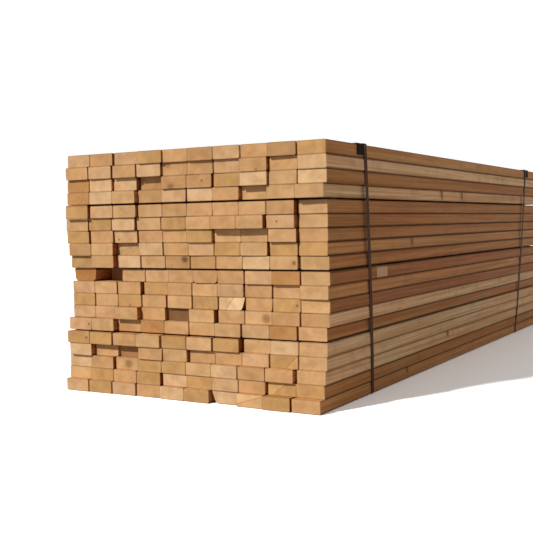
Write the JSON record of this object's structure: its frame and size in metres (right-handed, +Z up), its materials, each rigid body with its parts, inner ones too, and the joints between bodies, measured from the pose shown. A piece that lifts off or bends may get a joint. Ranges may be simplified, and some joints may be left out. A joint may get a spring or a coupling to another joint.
{
  "type": "bundle of pine studs",
  "caption": "Strapped rectangular bundle of sawn softwood wall studs, stacked flat in layers with thin laths between groups of layers.",
  "frame": {"origin": "on the floor under the middle of the bundle's bounding box", "axes": "+Z up, +Y along the studs away from the uneven end, +X across the bundle"},
  "size_m": [0.9404, 2.4556, 0.7538],
  "materials": {
    "pine": "planed, unfinished, with end grain and knots",
    "lath_pine": "rough sawn",
    "strap_steel": "dark waxed steel strapping",
    "seal_steel": "dark steel, crimped",
    "guard_fibre": "dark moulded angle"
  },
  "bodies": {
    "root": {"layer_01": "pine", "layer_02": "pine", "layer_03": "pine", "layer_04": "pine", "layer_05": "pine", "layer_06": "pine", "layer_07": "pine", "layer_08": "pine", "layer_09": "pine", "layer_10": "pine", "layer_11": "pine", "layer_12": "pine", "layer_13": "pine", "layer_14": "pine", "layer_15": "pine", "layer_16": "pine", "layer_17": "pine", "layer_18": "pine", "layer_19": "pine", "lath_1_near": "lath_pine", "lath_1_middle": "lath_pine", "lath_1_far": "lath_pine", "lath_2_near": "lath_pine", "lath_2_middle": "lath_pine", "lath_2_far": "lath_pine", "lath_3_near": "lath_pine", "lath_3_middle": "lath_pine", "lath_3_far": "lath_pine", "strap_near": "strap_steel", "strap_far": "strap_steel", "seal_near": "seal_steel", "seal_far": "seal_steel", "guard_near_left": "guard_fibre", "guard_near_right": "guard_fibre", "guard_far_left": "guard_fibre", "guard_far_right": "guard_fibre"}
  },
  "joints": []
}
